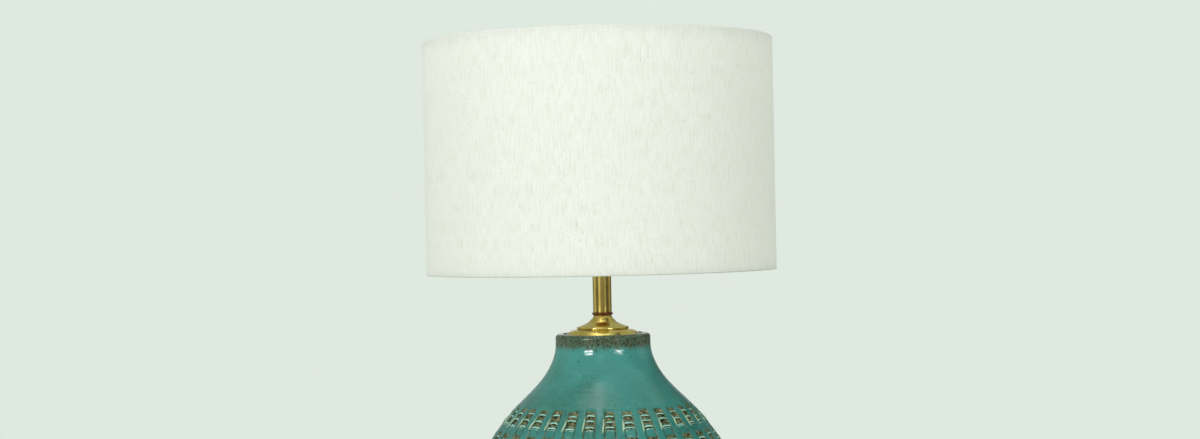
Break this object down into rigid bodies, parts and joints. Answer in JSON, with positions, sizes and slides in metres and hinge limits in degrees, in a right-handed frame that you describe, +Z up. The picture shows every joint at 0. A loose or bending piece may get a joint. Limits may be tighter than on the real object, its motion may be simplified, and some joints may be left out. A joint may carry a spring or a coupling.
{
  "type": "table lamp",
  "caption": "Table lamp with a ribbed, glazed ceramic body, a brass neck on a flared cap, and a linen drum shade carried on a harp.",
  "frame": {"origin": "middle of the felt's underside, on the surface that the lamp stands on", "axes": "+Z up along the lamp's axis; the front, with the switch knob, faces -Y; the cord notch is at +Y"},
  "size_m": [0.4572, 0.457, 0.7693],
  "materials": {
    "glazed_stoneware": "glossy teal reactive glaze, olive where thin",
    "felt": "matt wool felt",
    "zinc_steel": "zinc plated",
    "satin_brass": "aged satin brass",
    "bronzed_brass": "darkened",
    "brassed_steel": "brass plated",
    "bright_brass": "polished and lacquered",
    "contact_brass": "bare brass",
    "fibre_card": "vulcanised fibre card",
    "phenolic": "moulded phenolic",
    "frosted_diffuser": "frosted white",
    "nickelled_brass": "nickel plated",
    "solder": "dull solder",
    "linen": "slubbed off-white linen",
    "styrene": "satin white styrene",
    "shade_steel": "white powder coat"
  },
  "bodies": {
    "root": {"ceramic_body": "glazed_stoneware", "felt_pad": "felt", "threaded_pipe": "zinc_steel", "base_washer": "zinc_steel", "base_nut": "zinc_steel", "vase_cap": "satin_brass", "flared_spindle": "satin_brass", "neck_ring": "bronzed_brass", "neck_tube": "satin_brass", "check_ring": "satin_brass", "harp_saddle": "brassed_steel", "harp_bow": "brassed_steel", "harp_stud": "brassed_steel", "socket_cap": "bright_brass", "socket_shell": "bright_brass", "socket_liner": "fibre_card", "switch_block": "phenolic", "screw_shell": "contact_brass", "centre_contact": "contact_brass", "terminal_screws": "contact_brass"},
    "switch_knob": {"switch_knob": "phenolic", "switch_shaft": "contact_brass"},
    "bulb": {"bulb_globe": "frosted_diffuser", "bulb_base": "nickelled_brass", "bulb_tip": "solder"},
    "ferrule_left": {"harp_ferrule_left": "brassed_steel"},
    "ferrule_right": {"harp_ferrule_right": "brassed_steel"},
    "shade": {"shade_linen": "linen", "shade_liner": "styrene", "shade_top_ring": "shade_steel", "shade_bottom_ring": "shade_steel", "spider_washer": "shade_steel", "spider_arm_back": "shade_steel", "spider_arm_front_left": "shade_steel", "spider_arm_front_right": "shade_steel"},
    "finial": {"finial": "satin_brass"}
  },
  "joints": [
    {"name": "shade_turn", "type": "hinge", "parent": "root", "child": "shade", "pos_m": [0, 0, 0.7364], "axis": [0, 0, 1], "continuous": true},
    {"name": "finial_turn", "type": "hinge", "parent": "root", "child": "finial", "pos_m": [0, 0, 0.7383], "axis": [0, 0, 1], "range_deg": [0, 3960]},
    {"name": "bulb_turn", "type": "hinge", "parent": "root", "child": "bulb", "pos_m": [0, 0, 0.5131], "axis": [0, 0, 1], "range_deg": [0, 990]},
    {"name": "switch_knob_turn", "type": "hinge", "parent": "root", "child": "switch_knob", "pos_m": [0, -0.0195, 0.5003], "axis": [0, -1, 0], "continuous": true},
    {"name": "ferrule_left_slide", "type": "slide", "parent": "root", "child": "ferrule_left", "axis": [0, 0, 1], "range_m": [0, 0.012]},
    {"name": "ferrule_right_slide", "type": "slide", "parent": "root", "child": "ferrule_right", "axis": [0, 0, 1], "range_m": [0, 0.012]}
  ]
}
